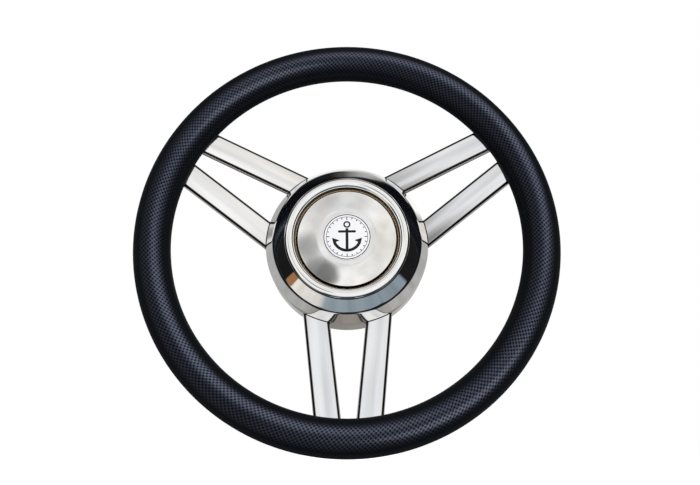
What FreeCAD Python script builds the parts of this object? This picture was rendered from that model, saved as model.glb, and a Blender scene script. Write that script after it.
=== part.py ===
import FreeCAD, Part
import math
import os
import re

import Sketcher

# Stainless boat steering wheel, 350 mm across: three pairs of flat polished bars between a spun hub
# and a moulded grip on a steel ring.
#
# Frame: the wheel's axis is Y and the helmsman looks along +Y. The origin is the middle of the
# rear mouth of the tapered shaft bore. A "station" is a distance ahead of that mouth, so a station
# of 40 lies at Y = -40. Z is up and X is to the helmsman's right. All sizes are in millimetres.

DRIVING_SIZES = {
    # Rim
    "rim_diameter": 350.0,
    "grip_diameter": 30.0,
    "core_diameter": 12.0,
    # Spoke bars, two to a pair
    "bar_width": 21.4,
    "bar_thickness": 8.0,
    "bar_edge_radius": 3.0,
    "bar_root_radius": 60.0,
    "bar_root_station": 30.6,
    "bar_root_spread": 26.4,
    "bar_toe_in": 6.4,
    "bar_rake": 12.0,
    "bar_landing": 2.2,
    "bar_tail": 10.0,
    "weld_gap": 0.3,
    # Hub shell, spun from sheet
    "shell_wall": 2.0,
    "collar_diameter": 87.6,
    "collar_depth": 10.0,
    "bead_station": 51.0,
    "bead_round": 4.2,
    "bead_proud": 1.07,
    "foot_round": 1.2,
    "flank_angle": 37.0,
    "flank_width": 18.5,
    "shoulder_round": 8.0,
    "flare_angle": 60.5,
    "flare_width": 7.5,
    "drum_round": 12.0,
    "drum_rear_station": 5.5,
    # Back plate and shaft boss
    "plate_thickness": 4.0,
    "boss_neck_diameter": 46.0,
    "boss_flange_diameter": 60.0,
    "boss_flange_thickness": 4.5,
    "boss_body_diameter": 40.0,
    "boss_length": 34.0,
    "boss_chamfer": 1.5,
    "bore_mouth_diameter": 19.05,
    "bore_taper_ratio": 12.0,
    "key_width": 4.76,
    "key_depth": 2.4,
    # Snap-in centre cap
    "cap_gap": 2.3,
    "cap_wall": 1.2,
    "cap_crown_radius": 194.0,
    "cap_crown_station": 54.8,
    "cap_edge_round": 1.8,
    "cap_skirt_station": 44.0,
    "cap_recess_radius": 23.5,
    "cap_recess_depth": 0.35,
    "seal_station": 46.6,
    # Cap clips
    "clip_wall": 0.6,
    "clip_width_angle": 12.0,
    "clip_overlap": 4.0,
    "clip_bite": 1.0,
    "clip_rise": 0.6,
    "clip_tail": 4.0,
    "clip_clearance": 0.1,
    # Badge
    "badge_diameter": 39.6,
    "badge_edge": 0.8,
    "badge_crown": 0.9,
    "badge_pad_inset": 1.5,
    "badge_pad_thickness": 0.3,
}

doc = FreeCAD.newDocument("SteeringWheel")


def make_sheet():
    sheet = doc.addObject("Spreadsheet::Sheet", "Sizes")
    for row, (alias, size) in enumerate(DRIVING_SIZES.items(), start=1):
        sheet.set("A%d" % row, alias)
        sheet.set("B%d" % row, str(size))
        sheet.setAlias("B%d" % row, alias)
    doc.recompute()
    return sheet


sheet = make_sheet()


def size(alias):
    return float(sheet.get(alias))


def bound(formula):
    # Turns a formula in plain size names into one that reads the sheet's cells.
    pattern = r"\b(" + "|".join(DRIVING_SIZES) + r")\b"
    return re.sub(pattern, r"Sizes.\1", formula)


# Formulas that several pieces share
RING_RADIUS = "(rim_diameter / 2 - grip_diameter / 2)"
RIM_STATION = (
    "(bar_root_station + (" + RING_RADIUS + " - bar_root_radius) * tan(bar_rake * 1deg) + bar_landing)"
)
COLLAR_REAR = "(bead_station - collar_depth)"
SHOULDER_RADIUS = "(collar_diameter / 2 + flank_width)"
SHOULDER_STATION = (
    "(bead_station - (flank_width - bead_round) * tan(flank_angle * 1deg)"
    " + (bead_round - bead_proud) / cos(flank_angle * 1deg))"
)
DRUM_RADIUS = "(" + SHOULDER_RADIUS + " + flare_width)"
PLATE_FRONT = "(drum_rear_station + plate_thickness)"
CAP_RADIUS = "(collar_diameter / 2 - cap_gap)"
CAP_RECESS_STATION = (
    "(cap_crown_station - cap_recess_radius * cap_recess_radius / (2 * cap_crown_radius)"
    " - cap_recess_depth)"
)

# The recess in the cap slopes out this far for each unit of its depth.
LIP_RATIO = 2.0

# An outline is first drawn roughly: its corners lie on a circle of this radius round this point.
ROUGH_MIDDLE = 30.0
ROUGH_RADIUS = 10.0

# An edge whose direction has more than this share along a bar is one of its long edges.
ALONG_RATIO = 0.99

# The points of a line or an arc in an outline, and the two axes through the outline's origin, which
# is the start of the level one.
START, END, CENTRE = range(1, 4)
LEVEL_AXIS, UPRIGHT_AXIS = -1, -2


def new_body(name):
    body = doc.addObject("PartDesign::Body", name)
    body.Label = name
    return body


def origin_plane(body, role):
    return [item for item in body.Origin.OriginFeatures if item.Role == role][0]


def new_sketch(body, name, role="XY_Plane"):
    sketch = body.newObject("Sketcher::SketchObject", name)
    sketch.AttachmentSupport = [(origin_plane(body, role), "")]
    sketch.MapMode = "FlatFace"
    return sketch


def new_line_sketch(name):
    # A free sketch in the XY plane: across is the radius, along is the wheel's axis.
    return doc.addObject("Sketcher::SketchObject", name)


def turned_sheet(name, line, wall, angle=None):
    # Spun or pressed sheet metal: the outer line thickened inwards to an even wall and turned.
    section = doc.addObject("Part::Offset2D", name + "_section")
    section.Source = line
    section.Mode = "Skin"
    section.Join = "Intersection"
    section.Fill = True
    section.setExpression("Value", bound("-" + wall))
    return turned_solid(name, section, angle)


def turned_solid(name, section, angle=None):
    # A full turn, or a turn through the given angle, half to each side of the section.
    turned = doc.addObject("Part::Revolution", name)
    turned.Source = section
    turned.Axis = FreeCAD.Vector(0, 1, 0)
    turned.Angle = 360.0
    if angle is not None:
        turned.setExpression("Angle", bound(angle))
        turned.Symmetric = True
    turned.Solid = True
    turned.Label = name
    return turned


def as_drawn(sketch, kind, where):
    # The size that a dimension has in the rough drawing, before the sheet drives it.
    shape = sketch.Geometry[where[0]]
    if kind == "Radius":
        return shape.Radius
    if kind == "Angle":
        return math.atan2(shape.EndPoint.y - shape.StartPoint.y, shape.EndPoint.x - shape.StartPoint.x)
    point = sketch.getPoint(where[2], where[3])
    return point.x if kind == "DistanceX" else point.y


def dimension(sketch, kind, *where, formula):
    # Adds one dimension and ties it to the sheet.
    index = sketch.addConstraint(Sketcher.Constraint(kind, *where, as_drawn(sketch, kind, where)))
    sketch.setExpression("Constraints[%d]" % index, bound(formula))


def place_point(sketch, element, point, across, along):
    dimension(sketch, "DistanceX", LEVEL_AXIS, START, element, point, formula=across)
    dimension(sketch, "DistanceY", LEVEL_AXIS, START, element, point, formula=along)


def rough_corners(count):
    # Stand-in corners on a circle; the dimensions then pull each one to its place.
    turns = [math.tau * index / count for index in range(count)]
    return [FreeCAD.Vector(ROUGH_MIDDLE + ROUGH_RADIUS * math.cos(turn), ROUGH_RADIUS * math.sin(turn), 0)
            for turn in turns]


def open_outline(sketch, corners):
    # Draws joined straight lines; each corner is a pair of formulas.
    rough = rough_corners(len(corners))
    lines = [sketch.addGeometry(Part.LineSegment(one, other), False) for one, other in zip(rough, rough[1:])]
    for line, following in zip(lines, lines[1:]):
        sketch.addConstraint(Sketcher.Constraint("Coincident", line, END, following, START))
    for line, (across, along) in zip(lines, corners):
        place_point(sketch, line, START, across, along)
    place_point(sketch, lines[-1], END, *corners[-1])


def closed_outline(sketch, corners):
    # The same, closed by one more line from the last corner to the first.
    rough = rough_corners(len(corners))
    open_outline(sketch, corners)
    last = sketch.addGeometry(Part.LineSegment(rough[-1], rough[0]), False)
    sketch.addConstraint(Sketcher.Constraint("Coincident", last - 1, END, last, START))
    sketch.addConstraint(Sketcher.Constraint("Coincident", last, END, 0, START))


def turn_about_axis(body, sketch, name, cut=False):
    kind = "PartDesign::Groove" if cut else "PartDesign::Revolution"
    turned = body.newObject(kind, name)
    turned.Profile = sketch
    turned.ReferenceAxis = (sketch, ["V_Axis"])
    turned.Angle = 360.0
    sketch.Visibility = False
    return turned


def make_ring(name, radius, section_radius, station):
    # A round ring about the wheel's axis.
    ring = doc.addObject("Part::Torus", name)
    ring.setExpression("Radius1", bound(radius))
    ring.setExpression("Radius2", bound(section_radius))
    ring.setExpression("Placement", bound(
        "placement(vector(0; -" + station + "; 0); rotation(vector(1; 0; 0); 90))"))
    ring.Label = name
    return ring


def corner_arc(before, corner, after, radius):
    # The arc that rounds a corner: its centre, its start and its end.
    incoming = (corner - before).normalize()
    outgoing = (after - corner).normalize()
    turn = incoming.getAngle(outgoing)
    reach = radius * math.tan(turn / 2)
    start = corner - incoming * reach
    end = corner + outgoing * reach
    middle = (outgoing - incoming).normalize()
    centre = corner + middle * (radius / math.cos(turn / 2))
    return centre, start, end


def arc_between(centre, start, end):
    # A counter-clockwise arc from start to end.
    first = math.atan2(start.y - centre.y, start.x - centre.x)
    last = math.atan2(end.y - centre.y, end.x - centre.x)
    if last < first:
        last += math.tau
    circle = Part.Circle(centre, FreeCAD.Vector(0, 0, 1), (start - centre).Length)
    return Part.ArcOfCircle(circle, first, last)


def draw_hub_line(name, closed=False):
    # The hub's outer line, from inside the collar over the rolled bead, down the sloping flank,
    # round a soft shoulder, out along the flare and back along the drum. Closed, it goes on across
    # the back and the collar's floor, so that it bounds the whole space that the hub fills.
    sketch = new_line_sketch(name)
    vector = FreeCAD.Vector

    collar = size("collar_diameter") / 2
    collar_rear = size("collar_depth") - size("bead_station")
    bead = size("bead_round")
    bead_centre = vector(collar + bead, -size("bead_station"), 0)
    flank = math.radians(size("flank_angle"))
    flare = math.radians(size("flare_angle"))
    along_flank = vector(math.cos(flank), math.sin(flank), 0)
    off_flank = vector(math.sin(flank), -math.cos(flank), 0)
    along_flare = vector(math.cos(flare), math.sin(flare), 0)
    flank_offset = bead - size("bead_proud")
    shoulder_drop = ((size("flank_width") - bead) * off_flank.x - flank_offset) / along_flank.x
    shoulder = vector(collar + size("flank_width"), bead_centre.y + shoulder_drop, 0)
    drum_corner = shoulder + along_flare * (size("flare_width") / along_flare.x)
    drum_rear = vector(drum_corner.x, -size("drum_rear_station"), 0)

    foot = size("foot_round")
    foot_reach = bead + foot
    foot_along = math.sqrt(foot_reach ** 2 - (flank_offset + foot) ** 2)
    foot_centre = bead_centre + off_flank * (flank_offset + foot) + along_flank * foot_along
    foot_on_bead = bead_centre + (foot_centre - bead_centre) * (bead / foot_reach)
    foot_on_flank = foot_centre - off_flank * foot
    shoulder_arc = corner_arc(foot_on_flank, shoulder, drum_corner, size("shoulder_round"))
    drum_arc = corner_arc(shoulder, drum_corner, drum_rear, size("drum_round"))

    bead_start = vector(collar, bead_centre.y, 0)
    pieces = [
        Part.LineSegment(vector(collar, collar_rear, 0), bead_start),
        arc_between(bead_centre, bead_start, foot_on_bead),
        arc_between(foot_centre, foot_on_flank, foot_on_bead),
        Part.LineSegment(foot_on_flank, shoulder_arc[1]),
        arc_between(*shoulder_arc),
        Part.LineSegment(shoulder_arc[2], drum_arc[1]),
        arc_between(*drum_arc),
        Part.LineSegment(drum_arc[2], drum_rear),
    ]
    for piece in pieces:
        sketch.addGeometry(piece, False)
    (COLLAR, BEAD, FOOT, FLANK, SHOULDER, FLARE, ROUND, DRUM) = range(len(pieces))
    corner = sketch.addGeometry(Part.Point(shoulder), True)

    for one, one_end, other, other_end in (
        (COLLAR, END, BEAD, START),
        (BEAD, END, FOOT, END),
        (FOOT, START, FLANK, START),
        (FLANK, END, SHOULDER, START),
        (SHOULDER, END, FLARE, START),
        (FLARE, END, ROUND, START),
        (ROUND, END, DRUM, START),
    ):
        sketch.addConstraint(Sketcher.Constraint("Tangent", one, one_end, other, other_end))
    for line in (COLLAR, DRUM):
        sketch.addConstraint(Sketcher.Constraint("Vertical", line))
    for line in (FLANK, FLARE):
        sketch.addConstraint(Sketcher.Constraint("PointOnObject", corner, START, line))

    place_point(sketch, COLLAR, START, "collar_diameter / 2", "-" + COLLAR_REAR)
    dimension(sketch, "DistanceY", LEVEL_AXIS, START, BEAD, CENTRE, formula="-bead_station")
    place_point(sketch, corner, START, SHOULDER_RADIUS, "-" + SHOULDER_STATION)
    place_point(sketch, DRUM, END, DRUM_RADIUS, "-drum_rear_station")
    for arc, formula in ((BEAD, "bead_round"), (FOOT, "foot_round"), (SHOULDER, "shoulder_round"),
                         (ROUND, "drum_round")):
        dimension(sketch, "Radius", arc, formula=formula)
    dimension(sketch, "Angle", FLANK, formula="flank_angle * 1deg")
    dimension(sketch, "Angle", FLARE, formula="flare_angle * 1deg")
    if closed:
        close_hub_line(sketch, DRUM, COLLAR, drum_rear, pieces[COLLAR].StartPoint)
    return sketch


def close_hub_line(sketch, drum, collar, drum_rear, collar_floor):
    # Three lines: in to the axis along the back, forward along it, and out to the collar.
    back_middle = FreeCAD.Vector(0, drum_rear.y, 0)
    floor_middle = FreeCAD.Vector(0, collar_floor.y, 0)
    back = sketch.addGeometry(Part.LineSegment(drum_rear, back_middle), False)
    axis = sketch.addGeometry(Part.LineSegment(back_middle, floor_middle), False)
    floor = sketch.addGeometry(Part.LineSegment(floor_middle, collar_floor), False)
    for one, other in ((drum, back), (back, axis), (axis, floor), (floor, collar)):
        sketch.addConstraint(Sketcher.Constraint("Coincident", one, END, other, START))
    for line in (back, floor):
        sketch.addConstraint(Sketcher.Constraint("Horizontal", line))
    for end in (START, END):
        sketch.addConstraint(Sketcher.Constraint("PointOnObject", axis, end, UPRIGHT_AXIS))


def make_spoke_bar(name, pair_angle, hand, ends):
    # A flat bar with rounded long edges. It leans forward by the rake and in by the toe-in, and
    # both of its ends are cut to what they are welded to: the hub and the ring in the rim.
    body = new_body(name + "_stock")
    sketch = new_sketch(body, name + "_section", "YZ_Plane")
    closed_outline(sketch, [
        ("0", "-bar_width / 2"),
        ("bar_thickness", "-bar_width / 2"),
        ("bar_thickness", "bar_width / 2"),
        ("0", "bar_width / 2"),
    ])
    run = "(" + RING_RADIUS + " - bar_root_radius)"
    pad = body.newObject("PartDesign::Pad", name + "_length")
    pad.Profile = sketch
    pad.setExpression("Length", bound(
        "bar_tail + " + run + " / (cos(bar_rake * 1deg) * cos(bar_toe_in * 1deg))"))
    sketch.Visibility = False
    doc.recompute()
    long_edges = ["Edge%d" % (index + 1) for index, edge in enumerate(pad.Shape.Edges)
                  if abs(edge.tangentAt(edge.FirstParameter).x) > ALONG_RATIO]
    fillet = body.newObject("PartDesign::Fillet", name + "_edges")
    fillet.Base = (pad, long_edges)
    fillet.setExpression("Radius", bound("bar_edge_radius"))
    body.Tip = fillet
    side = "%+d" % hand
    body.setExpression("Placement", bound(
        "placement(vector(0; 0; 0); rotation(vector(0; 1; 0); %.1f))" % -pair_angle
        + " * placement(vector(bar_root_radius; -bar_root_station; " + side + " * bar_root_spread);"
        " rotation(vector(0; 0; 1); -bar_rake))"
        " * placement(vector(0; 0; 0); rotation(vector(0; 1; 0); " + side + " * bar_toe_in))"
        " * placement(vector(-bar_tail; 0; 0); rotation(vector(0; 1; 0); 0))"))

    bar = doc.addObject("Part::Cut", name)
    bar.Base = body
    bar.Tool = ends
    bar.Label = name
    return bar


def make_grip(core, bars):
    # Foam moulded round the ring and round the ends of the bars.
    ring = make_ring("grip_ring", RING_RADIUS, "grip_diameter / 2", RIM_STATION)
    inside = doc.addObject("Part::MultiFuse", "grip_insert")
    inside.Shapes = [core] + bars
    grip = doc.addObject("Part::Cut", "grip")
    grip.Base = ring
    grip.Tool = inside
    grip.Label = "grip"
    return grip


def make_back_plate():
    # A plain disc that closes the drum and carries the boss.
    body = new_body("hub_back_plate")
    sketch = new_sketch(body, "plate_section")
    rim = DRUM_RADIUS + " - shell_wall"
    hole = "boss_neck_diameter / 2"
    closed_outline(sketch, [
        (hole, "-drum_rear_station"),
        (rim, "-drum_rear_station"),
        (rim, "-" + PLATE_FRONT),
        (hole, "-" + PLATE_FRONT),
    ])
    turn_about_axis(body, sketch, "plate_turned")
    return body


def make_shaft_boss():
    # Turned boss: a neck through the back plate, a flange against it, and the nut's seat in front.
    body = new_body("shaft_boss")
    outline = new_sketch(body, "boss_section")
    neck = "boss_neck_diameter / 2"
    flange = "boss_flange_diameter / 2"
    barrel = "boss_body_diameter / 2"
    flange_front = "(" + PLATE_FRONT + " + boss_flange_thickness)"
    closed_outline(outline, [
        ("0", "0"),
        (neck + " - boss_chamfer", "0"),
        (neck, "-boss_chamfer"),
        (neck, "-" + PLATE_FRONT),
        (flange, "-" + PLATE_FRONT),
        (flange, "-" + flange_front),
        (barrel, "-" + flange_front),
        (barrel, "-boss_length + boss_chamfer"),
        (barrel + " - boss_chamfer", "-boss_length"),
        ("0", "-boss_length"),
    ])
    turn_about_axis(body, outline, "boss_turned")
    doc.recompute()
    whole = body.Shape.Volume

    taper = new_sketch(body, "taper_section")
    mouth = "bore_mouth_diameter / 2"
    closed_outline(taper, [
        ("0", "0"),
        (mouth, "0"),
        (mouth + " - boss_length / (2 * bore_taper_ratio)", "-boss_length"),
        ("0", "-boss_length"),
    ])
    turn_about_axis(body, taper, "taper_bore", cut=True)
    doc.recompute()
    bored = body.Shape.Volume

    key = new_sketch(body, "keyway_section", "XZ_Plane")
    closed_outline(key, [
        ("-key_width / 2", "0"),
        ("key_width / 2", "0"),
        ("key_width / 2", "bore_mouth_diameter / 2 + key_depth"),
        ("-key_width / 2", "bore_mouth_diameter / 2 + key_depth"),
    ])
    keyway = body.newObject("PartDesign::Pocket", "keyway")
    keyway.Profile = key
    keyway.Type = "ThroughAll"
    keyway.Midplane = True
    key.Visibility = False
    doc.recompute()
    print("boss volume: turned %.0f, bored %.0f, with keyway %.0f" % (whole, bored, body.Shape.Volume))
    return body


def draw_cap_line():
    # The cap's outer line: a flat recess for the badge, a shallow crown, a rounded edge, a skirt.
    sketch = new_line_sketch("cap_line")
    vector = FreeCAD.Vector
    recess = size("cap_recess_radius")
    crown = size("cap_crown_radius")
    crown_centre = vector(0, crown - size("cap_crown_station"), 0)
    cap = size("collar_diameter") / 2 - size("cap_gap")
    edge = size("cap_edge_round")
    seat = -size("cap_crown_station") + recess ** 2 / (2 * crown) + size("cap_recess_depth")
    edge_across = cap - edge
    edge_along = crown_centre.y - math.sqrt((crown - edge) ** 2 - edge_across ** 2)
    edge_centre = vector(edge_across, edge_along, 0)
    edge_start = crown_centre + (edge_centre - crown_centre) * (crown / (crown - edge))
    edge_end = vector(cap, edge_centre.y, 0)
    lip_across = recess + LIP_RATIO * size("cap_recess_depth")
    lip = vector(lip_across, crown_centre.y - math.sqrt(crown ** 2 - lip_across ** 2), 0)
    pieces = [
        Part.LineSegment(vector(0, seat, 0), vector(recess, seat, 0)),
        Part.LineSegment(vector(recess, seat, 0), lip),
        arc_between(crown_centre, lip, edge_start),
        arc_between(edge_centre, edge_start, edge_end),
        Part.LineSegment(edge_end, vector(cap, -size("cap_skirt_station"), 0)),
    ]
    for piece in pieces:
        sketch.addGeometry(piece, False)
    (SEAT, LIP, CROWN, EDGE, SKIRT) = range(len(pieces))
    for one, other in ((SEAT, LIP), (LIP, CROWN)):
        sketch.addConstraint(Sketcher.Constraint("Coincident", one, END, other, START))
    for one, other in ((CROWN, EDGE), (EDGE, SKIRT)):
        sketch.addConstraint(Sketcher.Constraint("Tangent", one, END, other, START))
    sketch.addConstraint(Sketcher.Constraint("Horizontal", SEAT))
    sketch.addConstraint(Sketcher.Constraint("Vertical", SKIRT))
    sketch.addConstraint(Sketcher.Constraint("PointOnObject", SEAT, START, UPRIGHT_AXIS))
    place_point(sketch, CROWN, CENTRE, "0", "cap_crown_radius - cap_crown_station")
    dimension(sketch, "Radius", CROWN, formula="cap_crown_radius")
    dimension(sketch, "Radius", EDGE, formula="cap_edge_round")
    place_point(sketch, SEAT, END, "cap_recess_radius", "-" + CAP_RECESS_STATION)
    dimension(sketch, "DistanceX", LEVEL_AXIS, START, LIP, END,
              formula="cap_recess_radius + %.1f * cap_recess_depth" % LIP_RATIO)
    place_point(sketch, SKIRT, END, CAP_RADIUS, "-cap_skirt_station")
    return sketch


def draw_clip_line():
    # The outer line of a spring strip inside the cap's skirt, whose bent tail hooks behind the collar.
    sketch = new_line_sketch("clip_line")
    skirt = "(" + CAP_RADIUS + " - cap_wall)"
    hook = "(collar_diameter / 2 + clip_bite)"
    hook_station = "(" + COLLAR_REAR + " - clip_clearance)"
    open_outline(sketch, [
        (skirt, "-(cap_skirt_station + clip_overlap)"),
        (skirt, "-" + hook_station),
        (hook, "-(" + hook_station + " - clip_rise)"),
        (skirt, "-(" + hook_station + " - clip_tail)"),
    ])
    return sketch


def make_cap_clip(name, line, angle):
    clip = turned_sheet(name, line, "clip_wall", "clip_width_angle")
    clip.Placement = FreeCAD.Placement(
        FreeCAD.Vector(0, 0, 0), FreeCAD.Rotation(FreeCAD.Vector(0, 1, 0), angle))
    return clip


def make_badge():
    # A domed disc on a thin adhesive pad, set in the cap's recess.
    body = new_body("badge")
    sketch = new_sketch(body, "badge_outline")
    vector = FreeCAD.Vector
    radius = size("badge_diameter") / 2
    seat = -(size("cap_crown_station") - size("cap_recess_radius") ** 2 / (2 * size("cap_crown_radius"))
             - size("cap_recess_depth") + size("badge_pad_thickness"))
    edge = seat - size("badge_edge") + size("badge_pad_thickness")
    crown = edge - size("badge_crown")
    dome = (radius ** 2 + size("badge_crown") ** 2) / (2 * size("badge_crown"))
    pieces = [
        arc_between(vector(0, crown + dome, 0), vector(0, crown, 0), vector(radius, edge, 0)),
        Part.LineSegment(vector(radius, edge, 0), vector(radius, seat, 0)),
        Part.LineSegment(vector(radius, seat, 0), vector(0, seat, 0)),
        Part.LineSegment(vector(0, seat, 0), vector(0, crown, 0)),
    ]
    for piece in pieces:
        sketch.addGeometry(piece, False)
    (DOME, EDGE, SEAT, MIDDLE) = range(len(pieces))
    for one, other in ((DOME, EDGE), (EDGE, SEAT), (SEAT, MIDDLE), (MIDDLE, DOME)):
        sketch.addConstraint(Sketcher.Constraint("Coincident", one, END, other, START))
    seat_formula = "-(" + CAP_RECESS_STATION + " + badge_pad_thickness)"
    edge_formula = "-(" + CAP_RECESS_STATION + " + badge_edge)"
    sketch.addConstraint(Sketcher.Constraint("PointOnObject", DOME, CENTRE, UPRIGHT_AXIS))
    place_point(sketch, DOME, START, "0", "-(" + CAP_RECESS_STATION + " + badge_edge + badge_crown)")
    place_point(sketch, EDGE, START, "badge_diameter / 2", edge_formula)
    place_point(sketch, SEAT, START, "badge_diameter / 2", seat_formula)
    place_point(sketch, MIDDLE, START, "0", seat_formula)
    turn_about_axis(body, sketch, "badge_turned")
    return body


def make_badge_pad():
    body = new_body("badge_pad")
    sketch = new_sketch(body, "pad_section")
    edge = "badge_diameter / 2 - badge_pad_inset"
    closed_outline(sketch, [
        ("0", "-" + CAP_RECESS_STATION),
        (edge, "-" + CAP_RECESS_STATION),
        (edge, "-(" + CAP_RECESS_STATION + " + badge_pad_thickness)"),
        ("0", "-(" + CAP_RECESS_STATION + " + badge_pad_thickness)"),
    ])
    turn_about_axis(body, sketch, "pad_turned")
    return body


# Each pair of bars is known by the angle of its middle line, counter-clockwise from +X as the
# helmsman sees it; hand +1 is the bar on the counter-clockwise side of that line.
SPOKE_BARS = {
    "spoke_bar_bottom_right": (-90, 1),
    "spoke_bar_bottom_left": (-90, -1),
    "spoke_bar_right_upper": (30, 1),
    "spoke_bar_right_lower": (30, -1),
    "spoke_bar_left_upper": (150, -1),
    "spoke_bar_left_lower": (150, 1),
}
CLIP_ANGLES = {"cap_clip_1": 90, "cap_clip_2": 210, "cap_clip_3": 330}


def make_wheel():
    core = make_ring("rim_core", RING_RADIUS, "core_diameter / 2", RIM_STATION)
    hub_line = draw_hub_line("hub_line")
    cap_line = draw_cap_line()
    clip_line = draw_clip_line()
    ends = doc.addObject("Part::Compound", "bar_ends")
    ends.Links = [
        turned_solid("hub_form", draw_hub_line("hub_form_line", closed=True)),
        make_ring("ring_seat", RING_RADIUS, "core_diameter / 2 + weld_gap", RIM_STATION),
    ]
    doc.recompute()
    bars = [make_spoke_bar(name, angle, hand, ends) for name, (angle, hand) in SPOKE_BARS.items()]
    seal = make_ring("cap_seal", "(collar_diameter / 2 - cap_gap / 2)", "cap_gap / 2", "seal_station")
    pieces = [core, turned_sheet("hub_shell", hub_line, "shell_wall"), make_back_plate(),
              make_shaft_boss(), turned_sheet("centre_cap", cap_line, "cap_wall"), seal,
              make_badge(), make_badge_pad()]
    pieces += [make_cap_clip(name, clip_line, angle) for name, angle in CLIP_ANGLES.items()]
    doc.recompute()
    return [make_grip(core, bars)] + bars + pieces


def check_document():
    for item in doc.Objects:
        if "Invalid" in item.State or "Error" in item.State:
            raise RuntimeError("%s did not build: %s" % (item.Name, item.State))
        if item.TypeId == "Sketcher::SketchObject" and not item.FullyConstrained:
            print("sketch %s is not fully constrained" % item.Name)


def write_pieces(pieces):
    os.makedirs("parts", exist_ok=True)
    for piece in pieces:
        shape = piece.Shape
        if shape.isNull() or not shape.isValid() or len(shape.Solids) != 1:
            raise RuntimeError("%s is not one valid solid" % piece.Label)
        shape.exportStep("parts/%s.step" % piece.Label)
        box = shape.BoundBox
        print("%-24s %9.0f mm3  X %7.1f %7.1f  Y %6.1f %6.1f  Z %7.1f %7.1f" % (
            piece.Label, shape.Volume, box.XMin, box.XMax, box.YMin, box.YMax, box.ZMin, box.ZMax))


wheel = make_wheel()
doc.recompute()
check_document()
write_pieces(wheel)
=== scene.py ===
# %% [markdown]
# # A stainless boat steering wheel
#
# This notebook dresses a steering wheel in its finishes: mirror-polished steel, a moulded grip with
# a glossy woven look, a softly buffed centre cap and a small domed badge. The metal frame under it
# is already built at its real size, so the first step is only to load it and to measure it.
#
# Everything here is in metres. The wheel's axis is the Y axis, the person who steers looks along
# +Y, Z is up, and Y is 0 at the back of the shaft bore. So a point nearer to that person has a
# smaller Y.

# %% Load the wheel's frame
import math

import bmesh
import bpy
from mathutils import Matrix, Vector
from mathutils.bvhtree import BVHTree


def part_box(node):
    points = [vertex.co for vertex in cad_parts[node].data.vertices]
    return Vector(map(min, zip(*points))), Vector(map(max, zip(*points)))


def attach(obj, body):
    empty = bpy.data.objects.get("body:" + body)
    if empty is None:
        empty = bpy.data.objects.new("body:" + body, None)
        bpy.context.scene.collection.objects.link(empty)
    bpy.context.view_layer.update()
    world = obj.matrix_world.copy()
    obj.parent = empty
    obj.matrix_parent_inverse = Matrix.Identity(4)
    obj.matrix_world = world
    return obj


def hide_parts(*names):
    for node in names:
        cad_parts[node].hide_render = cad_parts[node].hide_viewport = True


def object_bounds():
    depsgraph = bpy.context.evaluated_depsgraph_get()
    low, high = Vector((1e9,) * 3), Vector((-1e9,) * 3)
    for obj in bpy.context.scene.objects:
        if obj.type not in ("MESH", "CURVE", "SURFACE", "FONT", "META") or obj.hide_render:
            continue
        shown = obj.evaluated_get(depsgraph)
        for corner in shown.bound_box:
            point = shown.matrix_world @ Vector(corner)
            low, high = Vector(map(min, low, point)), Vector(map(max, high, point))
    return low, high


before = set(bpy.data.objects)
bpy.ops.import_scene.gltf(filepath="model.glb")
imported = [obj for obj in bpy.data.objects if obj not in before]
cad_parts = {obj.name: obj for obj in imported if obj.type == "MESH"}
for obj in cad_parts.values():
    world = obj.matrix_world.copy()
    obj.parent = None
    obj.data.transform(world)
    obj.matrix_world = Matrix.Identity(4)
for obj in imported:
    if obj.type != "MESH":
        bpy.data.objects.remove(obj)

MM = 0.001
frame_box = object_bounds()
print("pieces in the frame:", len(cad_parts))
print("whole wheel, mm:", [round((high - low) / MM, 1) for low, high in zip(*frame_box)])

# %% [markdown]
# ## Sizes
#
# A maker reads most sizes off the frame, so that a change to the frame carries through to the
# finish. The sizes that a box can't give, such as the slope of the hub's flank or the rounding of a
# bar's edge, are written where their piece is made.

# %% Read the main sizes off the frame
grip_low, grip_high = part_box("grip")
hub_low, hub_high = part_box("hub_shell")
seal_low, seal_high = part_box("cap_seal")
cap_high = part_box("centre_cap")[1]
badge_low, badge_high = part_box("badge")

TUBE_RADIUS = (grip_high.y - grip_low.y) / 2
RING_RADIUS = grip_high.x - TUBE_RADIUS
RING_Y = (grip_high.y + grip_low.y) / 2
print("grip: ring radius %.1f mm, tube radius %.1f mm" % (RING_RADIUS / MM, TUBE_RADIUS / MM))
print("hub: drum radius %.1f mm, depth %.1f mm" % (hub_high.x / MM, (hub_high.y - hub_low.y) / MM))

# %% [markdown]
# ## Helpers for round pieces
#
# A spun hub, a pressed cap and a turned badge have one thing in common: each is a line turned about
# an axis. The line is a list of (radius, y) points. A polished surface shows every flat spot, so the
# points on a curve lie only a few degrees apart, and straight runs are divided too, which keeps the
# shading even from one end to the other.

# %% Lay points along arcs and straight runs
ARC_STEP = math.radians(4.0)
FEWEST_ARC_STEPS = 3
RUN_STEP = 1.2 * MM


def even_turns(start, end, count):
    return [start + (end - start) * index / count for index in range(count + 1)]


def points_round(centre, radius, turns):
    return [(centre[0] + radius * math.cos(turn), centre[1] + radius * math.sin(turn))
            for turn in turns]


def arc_points(centre, radius, start, end):
    count = max(FEWEST_ARC_STEPS, math.ceil(abs(end - start) / ARC_STEP))
    return points_round(centre, radius, even_turns(start, end, count))


def joined(*stretches):
    # Joins stretches into one line and fills the straight gaps between them with points.
    line = list(stretches[0])
    for stretch in stretches[1:]:
        start = Vector(line[-1])
        end = Vector(stretch[0])
        count = math.ceil((end - start).length / RUN_STEP)
        line += [tuple(start.lerp(end, index / count)) for index in range(1, count)]
        line += list(stretch)
    return line


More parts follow.
